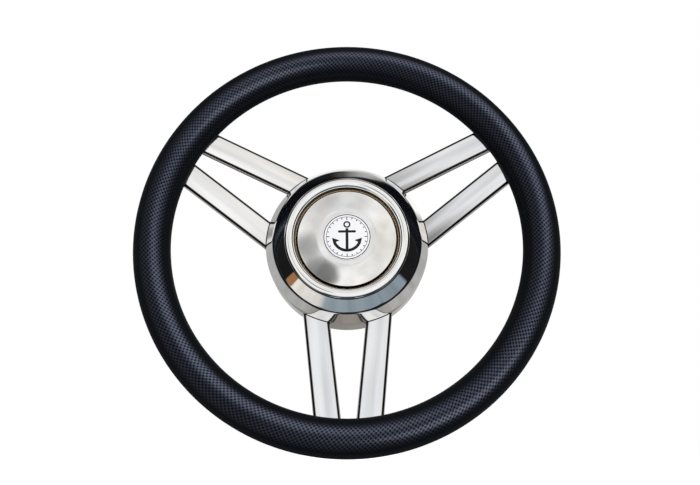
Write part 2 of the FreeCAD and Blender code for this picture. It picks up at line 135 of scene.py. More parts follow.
def corner_arc(before, corner, after, radius):
    # The arc that rounds the corner between two straight runs and meets both without a kink.
    incoming = (Vector(corner) - Vector(before)).normalized()
    outgoing = (Vector(after) - Vector(corner)).normalized()
    turn = incoming.angle(outgoing)
    centre = Vector(corner) + (outgoing - incoming).normalized() * (radius / math.cos(turn / 2))
    first = Vector(corner) - incoming * (radius * math.tan(turn / 2)) - centre
    start = math.atan2(first.y, first.x)
    left_turn = incoming.x * outgoing.y > incoming.y * outgoing.x
    return arc_points(centre, radius, start, start + (turn if left_turn else -turn))


print("points on a half turn:", len(arc_points((0.0, 0.0), 1.0, 0.0, math.pi)))

# %% [markdown]
# Sheet metal has two faces, so the outer line needs an inner one: the same line moved inwards by
# the wall. Nobody sees the inner face closely, which is why it keeps only every third point.

# %% Thicken a line into a sheet
INNER_THINNING = 3


def sheet_outline(outside, wall):
    inside = []
    for index, (across, along) in enumerate(outside):
        before = outside[max(index - 1, 0)]
        after = outside[min(index + 1, len(outside) - 1)]
        step = Vector((after[0] - before[0], after[1] - before[1])).normalized()
        inside.append((across - step.y * wall, along + step.x * wall))
    thinned = inside[:-1:INNER_THINNING] + [inside[-1]]
    return outside + thinned[::-1]


print("the inner face keeps one point of every", INNER_THINNING)

# %% [markdown]
# The next helper turns a closed outline about the wheel's axis. A point on the axis becomes one
# shared corner, so the middle of a cap closes to a clean point and not to a ring of tiny faces.

# %% Turn an outline about the wheel's axis
TURN_STEPS = 256
ON_AXIS = 1e-7
SHARP_EDGE = math.radians(32.0)


def finished_piece(name, bm, sharp=SHARP_EDGE):
    # Closes the modelling of a piece: outward faces, smooth shading and crisp edges where it bends.
    bmesh.ops.recalc_face_normals(bm, faces=bm.faces)
    mesh = bpy.data.meshes.new(name)
    bm.to_mesh(mesh)
    bm.free()
    mesh.shade_smooth()
    mesh.set_sharp_from_angle(angle=sharp)
    piece = bpy.data.objects.new(name, mesh)
    bpy.context.scene.collection.objects.link(piece)
    print("%s: %d faces" % (name, len(mesh.polygons)))
    return piece


def turned_piece(name, outline, steps=TURN_STEPS):
    bm = bmesh.new()
    poles = {index: bm.verts.new((0.0, y, 0.0)) for index, (radius, y) in enumerate(outline)
             if radius < ON_AXIS}
    rings = []
    for step in range(steps):
        turn = math.tau * step / steps
        ring = []
        for index, (radius, y) in enumerate(outline):
            place = (radius * math.cos(turn), y, radius * math.sin(turn))
            ring.append(poles.get(index) or bm.verts.new(place))
        rings.append(ring)
    for near, far in zip(rings, rings[1:] + rings[:1]):
        for index in range(len(outline)):
            following = (index + 1) % len(outline)
            corners = dict.fromkeys((near[index], near[following], far[following], far[index]))
            if len(corners) > 2:
                bm.faces.new(corners)
    return finished_piece(name, bm)


print("steps in one turn about the axis:", TURN_STEPS)

# %% [markdown]
# ## The hub shell
#
# On the real wheel the hub is one sheet of stainless steel, spun over a form on a lathe and then
# polished to a mirror. Its section runs from inside the collar over a rolled bead, down a sloping
# flank, round a soft shoulder, out along a flare and back along the drum. Each curve meets the next
# without a kink, because a kink would show as a broken reflection. So the line is a chain of tangent
# arcs, and the small arc at the bead's foot is found from the two that it has to touch.

# %% Draw the hub's line
SHELL_WALL = 2.0 * MM
COLLAR_RADIUS = 43.8 * MM
COLLAR_DEPTH = 10.0 * MM
BEAD_ROUND = 4.2 * MM
BEAD_PROUD = 1.07 * MM
FOOT_ROUND = 0.6 * MM
FLANK_ANGLE = math.radians(37.0)
FLANK_WIDTH = 18.5 * MM
SHOULDER_ROUND = 8.0 * MM
FLARE_ANGLE = math.radians(60.5)
DRUM_ROUND = 12.0 * MM


def hub_line():
    bead = Vector((COLLAR_RADIUS + BEAD_ROUND, hub_low.y + BEAD_ROUND))
    along_flank = Vector((math.cos(FLANK_ANGLE), math.sin(FLANK_ANGLE)))
    off_flank = Vector((along_flank.y, -along_flank.x))
    flank_offset = BEAD_ROUND - BEAD_PROUD
    shoulder_drop = ((FLANK_WIDTH - BEAD_ROUND) * off_flank.x - flank_offset) / along_flank.x
    shoulder = Vector((COLLAR_RADIUS + FLANK_WIDTH, bead.y + shoulder_drop))
    along_flare = Vector((math.cos(FLARE_ANGLE), math.sin(FLARE_ANGLE)))
    drum_corner = shoulder + along_flare * ((hub_high.x - shoulder.x) / along_flare.x)
    drum_rear = Vector((hub_high.x, hub_high.y))

    # The foot's arc touches the bead's arc and the flank.
    foot_height = flank_offset + FOOT_ROUND
    foot_along = math.sqrt((BEAD_ROUND + FOOT_ROUND) ** 2 - foot_height ** 2)
    to_foot = off_flank * foot_height + along_flank * foot_along
    foot = bead + to_foot
    touch = math.atan2(to_foot.y, to_foot.x)
    foot_end = math.atan2(-off_flank.y, -off_flank.x)
    flank_start = foot - off_flank * FOOT_ROUND
    outside = joined(
        [(COLLAR_RADIUS, bead.y + COLLAR_DEPTH)],
        arc_points(bead, BEAD_ROUND, -math.pi, touch)[:-1],
        arc_points(foot, FOOT_ROUND, touch + math.pi, foot_end),
        corner_arc(flank_start, shoulder, drum_corner, SHOULDER_ROUND),
        corner_arc(shoulder, drum_corner, drum_rear, DRUM_ROUND),
        [tuple(drum_rear)],
    )
    return outside, flank_start


hub_outside, bead_foot = hub_line()
hub_shell = turned_piece("hub_shell_polished", sheet_outline(hub_outside, SHELL_WALL))

# %% [markdown]
# ## The spoke bars
#
# The six bars are flat bar stock with rounded long edges. Each leans forward towards the rim, and
# the two of a pair close up a little on the way. Their faces are polished by hand on a felt wheel,
# which leaves them very slightly crowned, and that crown is what spreads soft light across a bar.
# So the section is a rounded rectangle whose two wide faces bulge by a fraction of a millimetre.

# %% Draw the bar's section
BAR_WIDTH = 21.4 * MM
BAR_THICKNESS = 8.0 * MM
BAR_EDGE = 3.0 * MM
FACE_CROWN = 0.25 * MM
FACE_POINTS = 12


def bar_section():
    # Points of (depth behind the front face, distance across the bar), once round.
    half = BAR_WIDTH / 2
    corners = [(0.0, -half), (0.0, half), (BAR_THICKNESS, half), (BAR_THICKNESS, -half)]
    arcs = [corner_arc(corners[index - 1], corner, corners[(index + 1) % 4], BAR_EDGE)
            for index, corner in enumerate(corners)]
    section = []
    for index, arc in enumerate(arcs):
        section += arc
        following = arcs[(index + 1) % 4][0]
        if index % 2 == 0:
            outwards = -1 if index == 0 else 1
            for step in range(1, FACE_POINTS):
                share = step / FACE_POINTS
                bulge = outwards * FACE_CROWN * 4 * share * (1 - share)
                across = arc[-1][1] + (following[1] - arc[-1][1]) * share
                section.append((arc[-1][0] + bulge, across))
    return section


print("points in a bar's section:", len(bar_section()))

# %% [markdown]
# A bar is its section swept along a straight line. At the rim it simply runs into the grip. At the
# hub it has to follow the curved sheet exactly, as a fitted and ground weld joint does. For that, a
# ray goes from each point of the section along the bar towards the hub, and where it meets the
# hub's surface, that point of the bar ends.
#
# Each bar also gets maps of its own surface, in metres: along and across, along and deep, and the
# distance from the joint. The polish uses them later to draw its fine marks lengthwise, whichever way
# the bar points, to paint bands of reflection on the sides, and to paint a dark seam of shade along
# the joint.

# %% Sweep the bars and fit them to the hub
BAR_ROOT_RADIUS = 60.0 * MM
BAR_ROOT_Y = -30.6 * MM
BAR_ROOT_SPREAD = 26.4 * MM
BAR_TOE_IN = math.radians(6.4)
BAR_RAKE = math.radians(12.0)
BAR_LOOPS = 24
PAIRS = {"bottom": -90.0, "right": 30.0, "left": 150.0}
BARS = {
    "bottom_right": ("bottom", 1),
    "bottom_left": ("bottom", -1),
    "right_upper": ("right", 1),
    "right_lower": ("right", -1),
    "left_upper": ("left", -1),
    "left_lower": ("left", 1),
}
bar_run = (RING_RADIUS - BAR_ROOT_RADIUS) / (math.cos(BAR_RAKE) * math.cos(BAR_TOE_IN))
hub_surface = BVHTree.FromObject(hub_shell, bpy.context.evaluated_depsgraph_get())


def bar_place(pair, hand):
    return (Matrix.Rotation(-math.radians(PAIRS[pair]), 4, "Y")
            @ Matrix.Translation((BAR_ROOT_RADIUS, BAR_ROOT_Y, hand * BAR_ROOT_SPREAD))
            @ Matrix.Rotation(-BAR_RAKE, 4, "Z")
            @ Matrix.Rotation(hand * BAR_TOE_IN, 4, "Y"))


def polished_bar(name, pair, hand):
    place = bar_place(pair, hand)
    section = bar_section()
    towards_hub = place.to_3x3() @ Vector((-1, 0, 0))
    bm = bmesh.new()
    polish_map = bm.loops.layers.uv.new("polish")
    depth_map = bm.loops.layers.uv.new("depth")
    joint_map = bm.loops.layers.uv.new("joint")
    from_joint = {}
    rows = []
    for depth, across in section:
        outer = place @ Vector((bar_run, depth, across))
        inner = hub_surface.ray_cast(outer, towards_hub)[0]
        row = [bm.verts.new(inner.lerp(outer, loop / BAR_LOOPS)) for loop in range(BAR_LOOPS + 1)]
        rows.append(row)
        from_joint.update({vert: (vert.co - inner).length for vert in row})
    for index, row in enumerate(rows):
        following = rows[(index + 1) % len(rows)]
        for loop in range(BAR_LOOPS):
            bm.faces.new((row[loop], row[loop + 1], following[loop + 1], following[loop]))
    for end in (0, -1):
        bm.faces.new([row[end] for row in rows])
    to_bar = place.inverted()
    for face in bm.faces:
        for corner in face.loops:
            flat = to_bar @ corner.vert.co
            corner[polish_map].uv = (flat.x, flat.z)
            corner[depth_map].uv = (flat.x, flat.y)
            corner[joint_map].uv = (from_joint[corner.vert], 0.0)
    return finished_piece("bar_%s_polished" % name, bm)


bars = {name: polished_bar(name, pair, hand) for name, (pair, hand) in BARS.items()}

# %% [markdown]
# ## The centre cap
#
# The cap is a shallow pressed disc that snaps into the hub's collar. It has a slightly sunk seat for
# the badge, then a gentle crown, a rounded edge and a short skirt. It is thin sheet, so it is made
# as the hub is: one outer line, thickened and turned. Small arcs soften the lip of the seat, because
# a press can't fold sheet to a knife edge, and that soft lip catches a thin ring of light.

# %% Draw and turn the cap
CAP_WALL = 1.2 * MM
CAP_CROWN_RADIUS = 194.0 * MM
CAP_CROWN_Y = -54.8 * MM
CAP_EDGE_ROUND = 1.0 * MM
SEAT_RADIUS = 23.5 * MM
SEAT_DEPTH = 0.35 * MM
LIP_RATIO = 3.5
LIP_ROUND = 1.4 * MM


def crown_y(across):
    return CAP_CROWN_Y + CAP_CROWN_RADIUS - math.sqrt(CAP_CROWN_RADIUS ** 2 - across ** 2)


def cap_line():
    cap_radius = cap_high.x
    seat_y = CAP_CROWN_Y + SEAT_RADIUS ** 2 / (2 * CAP_CROWN_RADIUS) + SEAT_DEPTH
    seat = (SEAT_RADIUS, seat_y)
    lip_across = SEAT_RADIUS + LIP_RATIO * SEAT_DEPTH
    lip = (lip_across, crown_y(lip_across))
    beyond = (lip_across + LIP_ROUND, crown_y(lip_across + LIP_ROUND))

    # The rounded edge touches the crown's arc and the skirt.
    crown = Vector((0.0, CAP_CROWN_Y + CAP_CROWN_RADIUS))
    edge_across = cap_radius - CAP_EDGE_ROUND
    edge_y = crown.y - math.sqrt((CAP_CROWN_RADIUS - CAP_EDGE_ROUND) ** 2 - edge_across ** 2)
    edge = Vector((edge_across, edge_y))
    touch = math.atan2(edge.y - crown.y, edge.x - crown.x)
    start = math.atan2(beyond[1] - crown.y, beyond[0] - crown.x)
    count = math.ceil((touch - start) * CAP_CROWN_RADIUS / RUN_STEP)
    return joined(
        [(0.0, seat_y)],
        corner_arc((0.0, seat_y), seat, lip, LIP_ROUND),
        corner_arc(seat, lip, beyond, LIP_ROUND),
        points_round(crown, CAP_CROWN_RADIUS, even_turns(start, touch, count)[:-1]),
        arc_points(edge, CAP_EDGE_ROUND, touch, 0.0),
        [(cap_radius, cap_high.y)],
    )


cap = turned_piece("centre_cap_buffed", sheet_outline(cap_line(), CAP_WALL))

# %% [markdown]
# ## The seal
#
# A tan elastomer ring fills the slot between the cap and the collar. It is a plain round cord bent
# to a ring, so a circle turned about the axis is all that it takes. The snapped-in cap pushes the
# cord outwards against the collar, which leaves a hair of shadow beside the cap.

# %% Turn the seal
SEAL_SQUEEZE = 0.6
seal_tube = (seal_high.y - seal_low.y) / 2 * SEAL_SQUEEZE
seal_middle = (seal_high.x - seal_tube, seal_low.y + seal_tube)
seal = turned_piece("cap_seal_ring", arc_points(seal_middle, seal_tube, 0.0, math.tau)[:-1])

# %% [markdown]
# ## The badge
#
# The badge is a white disc under a clear resin dome, the way such labels are made: the resin is
# poured on and pulls itself into an even lens. A shallow arc turned about the axis gives the lens,
# and a tiny round at its rim keeps the edge from looking cut with a knife.

# %% Turn the badge
BADGE_EDGE_ROUND = 0.3 * MM
BADGE_EDGE_HEIGHT = 0.5 * MM
badge_radius = badge_high.x
badge_crown = (badge_high.y - badge_low.y) - BADGE_EDGE_HEIGHT
dome_radius = (badge_radius ** 2 + badge_crown ** 2) / (2 * badge_crown)
BADGE_STEPS = 18


def dome_y(across):
    return badge_low.y + dome_radius - math.sqrt(dome_radius ** 2 - across ** 2)


def badge_outline():
    flat = badge_radius - BADGE_EDGE_ROUND
    stations = [flat * step / BADGE_STEPS for step in range(BADGE_STEPS)]
    dome = [(across, dome_y(across)) for across in stations]
    rim = corner_arc(dome[-1], (badge_radius, dome_y(badge_radius)), (badge_radius, badge_high.y),
                     BADGE_EDGE_ROUND)
    return dome + rim + [(badge_radius, badge_high.y), (0.0, badge_high.y)]


badge = turned_piece("badge_dome", badge_outline())

# %% [markdown]
# ## The badge's print
#
# The print is a plain anchor inside a graduated ring. Its outlines are drawn flat, from straight
# runs and arcs, and each closed outline becomes a face. A flat face laid on a dome would cut through
# it, so the faces are sliced by a fine grid first, and every corner then moves onto the dome, two
# hundredths of a millimetre above the resin. A last step gives the print a thickness that reaches
# into the resin, so that it is a closed film and not a loose sheet.

# %% Draw the anchor
PRINT_LIFT = 0.02 * MM
PRINT_FILM = 0.04 * MM
PRINT_GRID = 1.5 * MM
SHANK_HALF = 1.15 * MM
SHANK_TOP = 7.0 * MM
STOCK_HALF = 6.4 * MM
STOCK_LEVEL = 4.3 * MM
STOCK_THICK = 1.0 * MM
ARM_CENTRE = -0.6 * MM
ARM_OUTER = 12.4 * MM
ARM_INNER = 10.0 * MM
ARM_END = math.radians(-24.0)
ARM_OUTER_STEPS = 22
ARM_INNER_STEPS = 20
FLUKE_REACH = 3.4 * MM
FLUKE_TURN = math.radians(22.0)


def anchor_half():
    # The right half of the anchor, from the crown at the bottom up to the shank's top.
    centre = (0.0, ARM_CENTRE)
    outer = points_round(centre, ARM_OUTER, even_turns(-math.pi / 2, ARM_END, ARM_OUTER_STEPS))
    tip = points_round(centre, ARM_OUTER, [ARM_END + FLUKE_TURN])
    barb = points_round(centre, ARM_INNER - FLUKE_REACH, [ARM_END])
    lowest = -math.acos(SHANK_HALF / ARM_INNER)
    inner = points_round(centre, ARM_INNER, even_turns(ARM_END, lowest, ARM_INNER_STEPS))
    stock_end = arc_points((STOCK_HALF, STOCK_LEVEL), STOCK_THICK, -math.pi / 2, math.pi / 2)
    return (outer + tip + barb + inner
            + [(SHANK_HALF, STOCK_LEVEL - STOCK_THICK)] + stock_end
            + [(SHANK_HALF, STOCK_LEVEL + STOCK_THICK), (SHANK_HALF, SHANK_TOP)])


def anchor_outline():
    right = anchor_half()
    left = [(-across, up) for across, up in reversed(right) if across > ON_AXIS]
    return right + left


print("points in the anchor:", len(anchor_outline()))

# %% [markdown]
# The ring of the anchor, the thin circles and the graduation marks are all sectors of rings, so one
# helper draws them.

# %% Lay the print on the dome
PRINT_MIDDLE = (0.0, 0.0)
PRINT_STEP = 1.0 * MM
PRINT_MERGE = 0.002 * MM
SHACKLE_MIDDLE = (0.0, 10.4 * MM)
SHACKLE_RADII = (1.7 * MM, 3.0 * MM)
FINE_CIRCLE = (16.9 * MM, 17.3 * MM)
# The border circle is printed ink, and it also stands in for the thin shade line at the badge's rim:
# partly print, partly painted shade.
BORDER_CIRCLE = (18.7 * MM, 19.4 * MM)
TICKS = 24
TICK_WIDTH = math.radians(2.6)
TICK_OUTER = 16.7 * MM
TICK_LENGTH = 1.3 * MM
LONG_TICK_LENGTH = 2.2 * MM
LONG_TICK_EVERY = 6


def sector_outlines(centre, inner, outer, start=0.0, end=math.tau):
    # A band between two radii, as a row of four-cornered outlines.
    count = max(1, math.ceil((end - start) * outer / PRINT_STEP))
    turns = even_turns(start, end, count)
    near = points_round(centre, inner, turns)
    far = points_round(centre, outer, turns)
    return [(near[step], near[step + 1], far[step + 1], far[step]) for step in range(count)]


def print_outlines():
    outlines = [anchor_outline()]
    outlines += sector_outlines(SHACKLE_MIDDLE, *SHACKLE_RADII)
    outlines += sector_outlines(PRINT_MIDDLE, *FINE_CIRCLE)
    outlines += sector_outlines(PRINT_MIDDLE, *BORDER_CIRCLE)
    for tick in range(TICKS):
        middle = math.tau * tick / TICKS
        length = TICK_LENGTH if tick % LONG_TICK_EVERY else LONG_TICK_LENGTH
        outlines += sector_outlines(PRINT_MIDDLE, TICK_OUTER - length, TICK_OUTER,
                                    middle - TICK_WIDTH / 2, middle + TICK_WIDTH / 2)
    return outlines


def printed_film(name):
    bm = bmesh.new()
    for outline in print_outlines():
        bm.faces.new([bm.verts.new((across, 0.0, up)) for across, up in outline])
    bmesh.ops.remove_doubles(bm, verts=bm.verts, dist=PRINT_MERGE)
    cuts = math.ceil(badge_radius / PRINT_GRID)
    for axis in ((1, 0, 0), (0, 0, 1)):
        for cut in range(-cuts, cuts + 1):
            where = Vector(axis) * (cut * PRINT_GRID)
            whole = bm.verts[:] + bm.edges[:] + bm.faces[:]
            bmesh.ops.bisect_plane(bm, geom=whole, plane_co=where, plane_no=axis)
    bmesh.ops.triangulate(bm, faces=bm.faces)
    for vert in bm.verts:
        vert.co.y = dome_y(math.hypot(vert.co.x, vert.co.z)) - PRINT_LIFT
    film = bmesh.ops.extrude_face_region(bm, geom=bm.faces[:])
    for item in film["geom"]:
        if isinstance(item, bmesh.types.BMVert):
            item.co.y += PRINT_FILM
    return finished_piece(name, bm)


badge_print = printed_film("badge_print")

# %% [markdown]
# ## The grip
#
# The grip is foam moulded round a steel ring, with a printed woven skin under a clear coat. Its form
# is a plain torus, so the work lies in the map that carries the weave: one turn round the ring is 1
# along U, and one turn round the tube is 1 along V. The last face of each turn ends at 1 and doesn't
# go back to 0, or the whole pattern would be squeezed into it.

# %% Model the grip and its weave map
RING_STEPS = 480
TUBE_STEPS = 60


def grip_piece(name):
    bm = bmesh.new()
    weave_map = bm.loops.layers.uv.new("weave")
    grid = []
    for step in range(RING_STEPS):
        turn = math.tau * step / RING_STEPS
        ring = []
        for tube_step in range(TUBE_STEPS):
            tube_turn = math.tau * tube_step / TUBE_STEPS
            across = RING_RADIUS + TUBE_RADIUS * math.cos(tube_turn)
            y = RING_Y + TUBE_RADIUS * math.sin(tube_turn)
            ring.append(bm.verts.new((across * math.cos(turn), y, across * math.sin(turn))))
        grid.append(ring)
    for step in range(RING_STEPS):
        for tube_step in range(TUBE_STEPS):
            places = ((step, tube_step), (step, tube_step + 1),
                      (step + 1, tube_step + 1), (step + 1, tube_step))
            face = bm.faces.new([grid[one % RING_STEPS][other % TUBE_STEPS]
                                 for one, other in places])
            for corner, (one, other) in zip(face.loops, places):
                corner[weave_map].uv = (one / RING_STEPS, other / TUBE_STEPS)
    return finished_piece(name, bm)


grip = grip_piece("grip_moulded")

# %% [markdown]
# ## Finishes
#
# Every finish below is a recipe of nodes. A few short helpers keep the recipes readable: one starts
# a new finish, one adds a node and joins or sets its inputs by name, and the others name the steps
# that come back in every recipe, such as a noise, a mix of two colours or a bump.

# %% Helpers for finishes
def new_finish(name):
    finish = bpy.data.materials.new(name)
    finish.use_nodes = True
    return finish.node_tree, finish.node_tree.nodes["Principled BSDF"]


def feed(tree, socket, value):
    if isinstance(value, bpy.types.NodeSocket):
        tree.links.new(value, socket)
    else:
        socket.default_value = value


def add(tree, kind, inputs, **options):
    # Adds a node. A key of inputs is an input's name or number, and its value a number or an output.
    node = tree.nodes.new(kind)
    for option, value in options.items():
        setattr(node, option, value)
    for key, value in inputs.items():
        feed(tree, node.inputs[key], value)
    return node


def maths(tree, operation, *values):
    return add(tree, "ShaderNodeMath", dict(enumerate(values)), operation=operation).outputs[0]


def between(tree, share, low, high):
    # Runs from low to high as share goes from 0 to 1.
    inputs = {"Value": share, "To Min": low, "To Max": high}
    return add(tree, "ShaderNodeMapRange", inputs).outputs[0]


def mixed(tree, share, first, second):
    return add(tree, "ShaderNodeMix", {0: share, 6: first, 7: second}, data_type="RGBA").outputs[2]


def noise(tree, where, scale, detail=2.0):
    inputs = {"Vector": where, "Scale": scale, "Detail": detail}
    return add(tree, "ShaderNodeTexNoise", inputs).outputs[0]


def stretched(tree, where, along, across):
    # Scales a place on a map, so that a noise on it becomes streaks.
    inputs = {"Vector": where, "Scale": (along, across, 1.0)}
    return add(tree, "ShaderNodeMapping", inputs).outputs[0]


def smooth_share(tree, value, start, end):
    # Runs softly from 0 to 1 as the value goes from start to end.
    return add(tree, "ShaderNodeMapRange", {"Value": value, "From Min": start, "From Max": end},
               interpolation_type="SMOOTHSTEP").outputs[0]


def relief(tree, height, depth, base=None):
    # Turns a height from 0 to 1 into a bump that is depth metres deep, on top of another one.
    inputs = {"Height": height, "Distance": depth, "Strength": 1.0}
    if base is not None:
        inputs["Normal"] = base
    return add(tree, "ShaderNodeBump", inputs).outputs[0]


def set_shader(tree, shader, **inputs):
    for name, value in inputs.items():
        feed(tree, shader.inputs[name.replace("_", " ")], value)


def object_place(tree):
    return add(tree, "ShaderNodeTexCoord", {}).outputs["Object"]


def map_place(tree, map_name):
    return add(tree, "ShaderNodeUVMap", {}, uv_map=map_name).outputs[0]


def dress(piece, finish):
    piece.data.materials.clear()
    piece.data.materials.append(bpy.data.materials[finish])
    print("%s wears %s" % (piece.name, finish))


print("finishes that came with the frame:", len(bpy.data.materials))

# %% [markdown]
# ## Mirror-polished steel
#
# Polished stainless is never quite a perfect mirror. Faint smudges change how sharp it reflects, and
# the sheet is very slightly wavy after spinning and polishing, which bends the reflections a little.
# The first is a slow noise on the roughness, the second a bump only a tenth of a millimetre deep.
# A thin dark line of painted shade lies in the crease at the bead's foot, at the radius where the
# hub's line leaves the bead for the flank. The collar's wall in the slot is painted dark in the same
# way, as painted shade.

# %% Make the mirror polish for the hub
STEEL_COLOUR = (0.85, 0.85, 0.845, 1.0)
# Painted shade for the crease at the bead's foot and for the collar's wall in the slot.
GROOVE_DARK = (0.03, 0.028, 0.028, 1.0)
GROOVE_HALF = 0.5 * MM
SLOT_HALF = 0.25 * MM
SOOT_CORE = 0.6
SMUDGE_SCALE = 45.0
WAVE_SCALE = 38.0
HUB_WAVE_DEPTH = 0.10 * MM
HUB_ROUGHNESS = (0.02, 0.07)


def groove_soot(tree, metal, middle, half_width):
    # Paints a thin dark ring of shade into the metal round the axis.
    split = add(tree, "ShaderNodeSeparateXYZ", {0: object_place(tree)})
    square = maths(tree, "ADD", maths(tree, "MULTIPLY", split.outputs["X"], split.outputs["X"]),
                   maths(tree, "MULTIPLY", split.outputs["Z"], split.outputs["Z"]))
    off = maths(tree, "ABSOLUTE", maths(tree, "SUBTRACT", maths(tree, "SQRT", square), middle))
    clean = smooth_share(tree, off, half_width * SOOT_CORE, half_width)
    return mixed(tree, clean, GROOVE_DARK, metal)


def mirror_polish(name):
    tree, shader = new_finish(name)
    place = object_place(tree)
    smudges = noise(tree, place, SMUDGE_SCALE, detail=4.0)
    waves = noise(tree, place, WAVE_SCALE, detail=1.0)
    # Painted shade: a dark ring in the crease at the bead's foot and one on the collar's wall in the
    # slot.
    metal = groove_soot(tree, STEEL_COLOUR, bead_foot[0] - GROOVE_HALF / 2, GROOVE_HALF)
    metal = groove_soot(tree, metal, COLLAR_RADIUS, SLOT_HALF)
    set_shader(tree, shader, Base_Color=metal, Metallic=1.0,
               Roughness=between(tree, smudges, *HUB_ROUGHNESS),
               Normal=relief(tree, waves, HUB_WAVE_DEPTH))


print("crease at the bead's foot, radius and y in mm:", [round(value / MM, 2) for value in bead_foot])
mirror_polish("mirror_polish")
dress(hub_shell, "mirror_polish")

# %% [markdown]
# The bars get the same steel with a few more things. The felt wheel leaves long faint marks along the
# faces. On the narrow sides and their rounded edges, bands of dark and light are painted into the
# colour: painted reflections. On the bar's own maps, a noise that changes slowly along and quickly
# across makes the marks. The painted reflection bands are a sine wave over the depth that another
# slow noise pushes a little to and fro. A thin seam beside the hub is painted dark too: painted shade
# in the corner of the joint.

# %% Make the lengthwise polish for the bars
STEEL_STREAK = (0.77, 0.77, 0.785, 1.0)
# Painted reflection bands on the narrow sides, dark and light. The dark also paints the shade of the
# seam at the joint.
SIDE_DARK = (0.012, 0.010, 0.010, 1.0)
SIDE_LIGHT = (0.92, 0.90, 0.88, 1.0)
SIDE_BEGINS = 7.9 * MM
SIDE_FULL = 8.6 * MM
LINE_SPACING = 4.8 * MM
LINE_START = 0.5 * MM
LINE_WANDER = 1.2
LINE_EDGES = (0.15, 0.75)
SEAM_WIDTH = 0.8 * MM
MARK_STRETCH = (6.0, 420.0)
WANDER_STRETCH = (9.0, 60.0)
STREAK_STRETCH = (4.0, 160.0)
STREAK_EDGES = (0.35, 0.65)
MARK_DEPTH = 0.012 * MM
BAR_WAVE_DEPTH = 0.06 * MM
BAR_ROUGHNESS = (0.03, 0.12)


def bar_polish(name):
    tree, shader = new_finish(name)
    place = object_place(tree)
    on_face = map_place(tree, "polish")
    on_side = map_place(tree, "depth")
    marks = noise(tree, stretched(tree, on_face, *MARK_STRETCH), 1.0, detail=3.0)
    wander = noise(tree, stretched(tree, on_side, *WANDER_STRETCH), 1.0, detail=2.0)
    depth = add(tree, "ShaderNodeSeparateXYZ", {0: on_side}).outputs["Y"]
    below = maths(tree, "SUBTRACT", depth, LINE_START)
    turn = maths(tree, "MULTIPLY", below, math.tau / LINE_SPACING)
    pushed = maths(tree, "ADD", turn, between(tree, wander, -LINE_WANDER, LINE_WANDER))
    lines = maths(tree, "SINE", pushed)
    across = maths(tree, "ABSOLUTE", add(tree, "ShaderNodeSeparateXYZ", {0: on_face}).outputs["Y"])
    side = smooth_share(tree, across, SIDE_BEGINS, SIDE_FULL)
    # Painted reflections of the rounded edges, as bands on the sides.
    drawn = mixed(tree, smooth_share(tree, lines, *LINE_EDGES), SIDE_DARK, SIDE_LIGHT)
    gentle = relief(tree, noise(tree, place, WAVE_SCALE, detail=1.0), BAR_WAVE_DEPTH)
    wide = noise(tree, stretched(tree, on_face, *STREAK_STRETCH), 1.0, detail=2.0)
    faces = mixed(tree, smooth_share(tree, wide, *STREAK_EDGES), STEEL_STREAK, STEEL_COLOUR)
    # A painted shade seam in the corner of the joint with the hub.
    joint = add(tree, "ShaderNodeSeparateXYZ", {0: map_place(tree, "joint")}).outputs["X"]
    seam = smooth_share(tree, joint, SEAM_WIDTH * SOOT_CORE, SEAM_WIDTH)
    metal = mixed(tree, seam, SIDE_DARK, mixed(tree, side, faces, drawn))
    set_shader(tree, shader, Base_Color=metal, Metallic=1.0,
               Roughness=between(tree, marks, *BAR_ROUGHNESS),
               Normal=relief(tree, marks, MARK_DEPTH, gentle))


bar_polish("bar_polish")
for bar in bars.values():
    dress(bar, "bar_polish")

# %% [markdown]
# ## Buffed steel for the cap
#
# The cap is buffed while it spins, with a softer wheel. It reflects, but everything in it is a little
# blurred, and very fine rings run round its middle. The distance from the axis gives the rings: a
# noise that changes quickly with that distance and slowly round the cap. A second noise tints the
# metal a little darker in patches, as worn buffing does. The skirt in the slot is painted black, as
# painted shade of the slot, and the distance from the axis says where it begins.

# %% Make the buffed finish
CAP_SMOKE = (0.73, 0.725, 0.71, 1.0)
# Painted shade of the slot, laid on the cap's skirt.
SOOT = (0.02, 0.018, 0.016, 1.0)
SOOT_BLUR = 0.35 * MM
SOOT_REACH = 0.85 * MM
RING_LENGTH = 0.6
AXIS_GUARD = 0.1 * MM


def polar_place(tree, round_scale):
    # The distance from the axis along X, and a slow turn round it along Y and Z.
    split = add(tree, "ShaderNodeSeparateXYZ", {0: object_place(tree)})
    across = split.outputs["X"]
    up = split.outputs["Z"]
    square = maths(tree, "ADD", maths(tree, "MULTIPLY", across, across),
                   maths(tree, "MULTIPLY", up, up))
    radius = maths(tree, "SQRT", square)
    safe = maths(tree, "MAXIMUM", radius, AXIS_GUARD)
    east = maths(tree, "MULTIPLY", maths(tree, "DIVIDE", across, safe), round_scale)
    north = maths(tree, "MULTIPLY", maths(tree, "DIVIDE", up, safe), round_scale)
    return add(tree, "ShaderNodeCombineXYZ", {"X": radius, "Y": east, "Z": north}).outputs[0]


